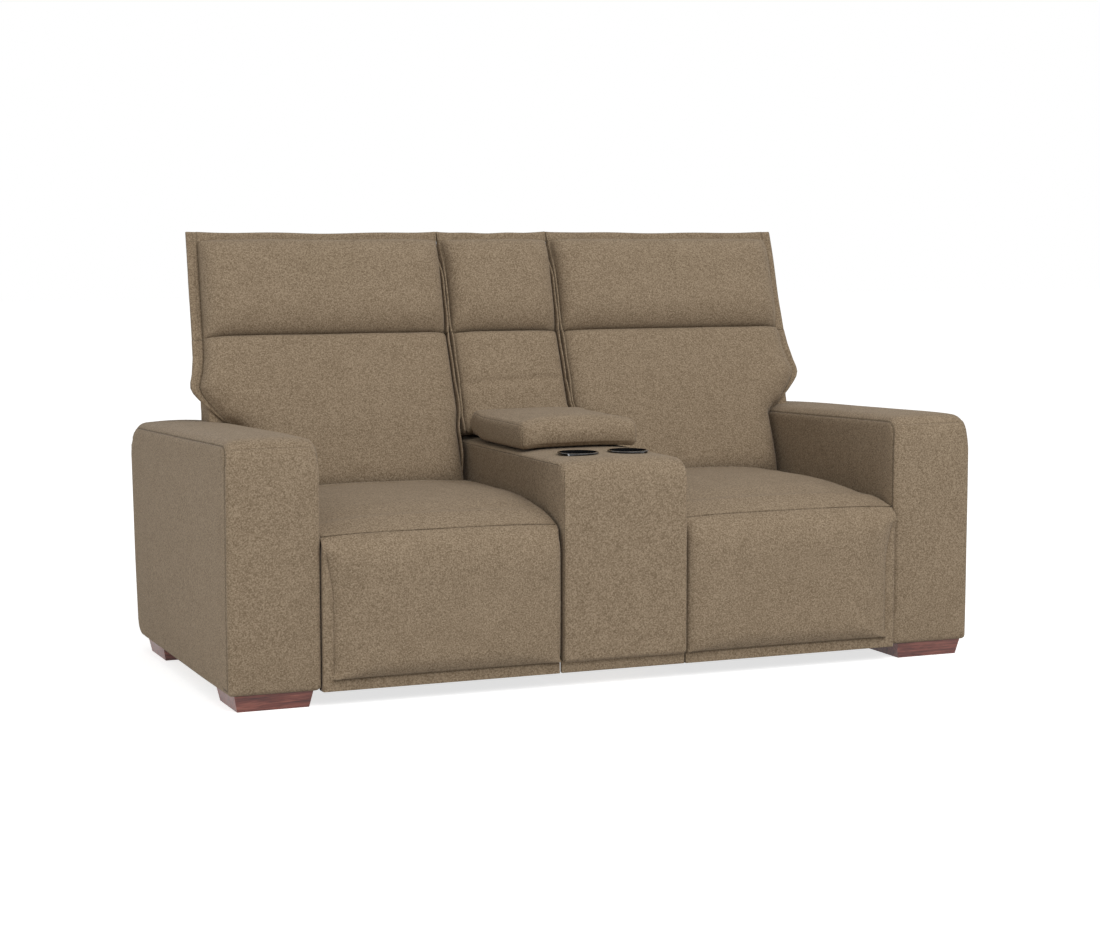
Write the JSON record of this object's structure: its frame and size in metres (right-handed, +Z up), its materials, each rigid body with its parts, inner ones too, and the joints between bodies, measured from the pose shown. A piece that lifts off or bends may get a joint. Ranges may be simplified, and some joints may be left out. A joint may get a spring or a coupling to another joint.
{
  "type": "power reclining sofa",
  "caption": "Power reclining sofa with a storage console between its seats: backs recline, footrests swing out, headrests tilt and a padded lid lifts.",
  "frame": {"origin": "on the floor, under the middle of the whole", "axes": "+X to the viewer's right across the sofa, +Y to the rear, +Z up"},
  "size_m": [1.93, 1.0162, 1.073],
  "materials": {
    "upholstery": "flecked chenille",
    "foot_wood": "satin red-brown stain",
    "board": "raw plywood",
    "black_steel": "satin black",
    "bolt_steel": "zinc",
    "rod_steel": "ground",
    "cup_plastic": "gloss black",
    "black_plastic": "matt black",
    "webbing": "woven"
  },
  "bodies": {
    "base": {"front_feet": "foot_wood", "rear_feet": "foot_wood", "foot_bolts": "bolt_steel", "left_arm_cover": "upholstery", "right_arm_cover": "upholstery", "left_arm_frame": "board", "right_arm_frame": "board", "console_cover": "upholstery", "console_frame": "board", "console_glides": "black_plastic", "cup_holders": "cup_plastic", "storage_bin": "black_plastic", "lid_bracket": "black_steel", "left_base_rails": "black_steel", "right_base_rails": "black_steel", "centre_back_frame": "board", "centre_back_pad": "upholstery", "rear_panels": "upholstery", "power_supply": "black_plastic", "left_control_plate": "black_plastic", "right_control_plate": "black_plastic"},
    "lid": {"lid_pad": "upholstery", "lid_board": "board", "lid_hinge": "black_steel"},
    "left_seat": {"left_seat_frame": "black_steel", "left_seat_webbing": "webbing", "left_seat_cushion": "upholstery", "left_recline_actuator": "black_plastic"},
    "left_drive": {"left_drive_block": "black_plastic"},
    "left_back": {"left_back_frame": "black_steel", "left_back_pad": "upholstery", "left_back_shell": "upholstery", "left_headrest_actuator": "black_plastic"},
    "left_headrest": {"left_headrest_frame": "black_steel", "left_headrest_pad": "upholstery"},
    "left_rod": {"left_headrest_rod": "rod_steel"},
    "left_rear_link": {"left_leg_link_rear": "black_steel"},
    "left_front_link": {"left_leg_link_front": "black_steel"},
    "left_footrest": {"left_footrest_frame": "black_steel", "left_footrest_pad": "upholstery"},
    "left_recline_switch": {"left_recline_rocker": "black_plastic"},
    "left_headrest_switch": {"left_headrest_rocker": "black_plastic"},
    "right_seat": {"right_seat_frame": "black_steel", "right_seat_webbing": "webbing", "right_seat_cushion": "upholstery", "right_recline_actuator": "black_plastic"},
    "right_drive": {"right_drive_block": "black_plastic"},
    "right_back": {"right_back_frame": "black_steel", "right_back_pad": "upholstery", "right_back_shell": "upholstery", "right_headrest_actuator": "black_plastic"},
    "right_headrest": {"right_headrest_frame": "black_steel", "right_headrest_pad": "upholstery"},
    "right_rod": {"right_headrest_rod": "rod_steel"},
    "right_rear_link": {"right_leg_link_rear": "black_steel"},
    "right_front_link": {"right_leg_link_front": "black_steel"},
    "right_footrest": {"right_footrest_frame": "black_steel", "right_footrest_pad": "upholstery"},
    "right_recline_switch": {"right_recline_rocker": "black_plastic"},
    "right_headrest_switch": {"right_headrest_rocker": "black_plastic"}
  },
  "joints": [
    {"name": "console_lid", "type": "hinge", "parent": "base", "child": "lid", "pos_m": [0, 0.106, 0.58], "axis": [-1, 0, 0], "range_deg": [0, 90]},
    {"name": "left_recline", "type": "slide", "parent": "base", "child": "left_seat", "axis": [0, -0.9558, 0.2941], "range_m": [0, 0.13601]},
    {"name": "left_back_tilt", "type": "hinge", "parent": "left_seat", "child": "left_back", "pos_m": [-0.456, 0.222, 0.38], "axis": [-1, 0, 0], "range_deg": [0, 30]},
    {"name": "left_rear_link_swing", "type": "hinge", "parent": "left_seat", "child": "left_rear_link", "pos_m": [-0.456, -0.34406, 0.24978], "axis": [-1, 0, 0], "range_deg": [0, 56]},
    {"name": "left_front_link_swing", "type": "hinge", "parent": "left_rear_link", "child": "left_front_link", "pos_m": [-0.456, -0.40679, 0.09608], "axis": [1, 0, 0], "range_deg": [0, 112]},
    {"name": "left_footrest_swing", "type": "hinge", "parent": "left_front_link", "child": "left_footrest", "pos_m": [-0.456, -0.412, 0.262], "axis": [-1, 0, 0], "range_deg": [0, 138]},
    {"name": "left_drive_slide", "type": "slide", "parent": "left_seat", "child": "left_drive", "axis": [0, -1, 0], "range_m": [0, 0.05634]},
    {"name": "left_headrest_tilt", "type": "hinge", "parent": "left_back", "child": "left_headrest", "pos_m": [-0.456, 0.28708, 0.82213], "axis": [1, 0, 0], "range_deg": [0, 30]},
    {"name": "left_rod_slide", "type": "slide", "parent": "left_back", "child": "left_rod", "axis": [0, 0.3746, 0.9272], "range_m": [0, 0.03727]},
    {"name": "left_recline_button", "type": "hinge", "parent": "base", "child": "left_recline_switch", "pos_m": [-0.744, -0.238, 0.494], "axis": [0, 1, 0], "range_deg": [-5, 5], "stiffness_Nm_per_rad": 0.05},
    {"name": "left_headrest_button", "type": "hinge", "parent": "base", "child": "left_headrest_switch", "pos_m": [-0.744, -0.198, 0.494], "axis": [0, 1, 0], "range_deg": [-5, 5], "stiffness_Nm_per_rad": 0.05},
    {"name": "right_recline", "type": "slide", "parent": "base", "child": "right_seat", "axis": [0, -0.9558, 0.2941], "range_m": [0, 0.13601]},
    {"name": "right_back_tilt", "type": "hinge", "parent": "right_seat", "child": "right_back", "pos_m": [0.456, 0.222, 0.38], "axis": [-1, 0, 0], "range_deg": [0, 30]},
    {"name": "right_rear_link_swing", "type": "hinge", "parent": "right_seat", "child": "right_rear_link", "pos_m": [0.456, -0.34406, 0.24978], "axis": [-1, 0, 0], "range_deg": [0, 56]},
    {"name": "right_front_link_swing", "type": "hinge", "parent": "right_rear_link", "child": "right_front_link", "pos_m": [0.456, -0.40679, 0.09608], "axis": [1, 0, 0], "range_deg": [0, 112]},
    {"name": "right_footrest_swing", "type": "hinge", "parent": "right_front_link", "child": "right_footrest", "pos_m": [0.456, -0.412, 0.262], "axis": [-1, 0, 0], "range_deg": [0, 138]},
    {"name": "right_drive_slide", "type": "slide", "parent": "right_seat", "child": "right_drive", "axis": [0, -1, 0], "range_m": [0, 0.05634]},
    {"name": "right_headrest_tilt", "type": "hinge", "parent": "right_back", "child": "right_headrest", "pos_m": [0.456, 0.28708, 0.82213], "axis": [1, 0, 0], "range_deg": [0, 30]},
    {"name": "right_rod_slide", "type": "slide", "parent": "right_back", "child": "right_rod", "axis": [0, 0.3746, 0.9272], "range_m": [0, 0.03727]},
    {"name": "right_recline_button", "type": "hinge", "parent": "base", "child": "right_recline_switch", "pos_m": [0.168, -0.298, 0.494], "axis": [0, 1, 0], "range_deg": [-5, 5], "stiffness_Nm_per_rad": 0.05},
    {"name": "right_headrest_button", "type": "hinge", "parent": "base", "child": "right_headrest_switch", "pos_m": [0.168, -0.258, 0.494], "axis": [0, 1, 0], "range_deg": [-5, 5], "stiffness_Nm_per_rad": 0.05}
  ],
  "couplings": [
    {"joint": "left_back_tilt", "follows": "left_recline", "rad_per_m": 3.8496},
    {"joint": "left_rear_link_swing", "follows": "left_recline", "rad_per_m": 7.1859},
    {"joint": "left_front_link_swing", "follows": "left_recline", "rad_per_m": 14.372},
    {"joint": "left_footrest_swing", "follows": "left_recline", "rad_per_m": 17.708},
    {"joint": "left_drive_slide", "follows": "left_recline", "ratio": 0.41419},
    {"joint": "left_rod_slide", "follows": "left_headrest_tilt", "m_per_rad": 0.07118},
    {"joint": "right_back_tilt", "follows": "right_recline", "rad_per_m": 3.8496},
    {"joint": "right_rear_link_swing", "follows": "right_recline", "rad_per_m": 7.1859},
    {"joint": "right_front_link_swing", "follows": "right_recline", "rad_per_m": 14.372},
    {"joint": "right_footrest_swing", "follows": "right_recline", "rad_per_m": 17.708},
    {"joint": "right_drive_slide", "follows": "right_recline", "ratio": 0.41419},
    {"joint": "right_rod_slide", "follows": "right_headrest_tilt", "m_per_rad": 0.07118}
  ]
}
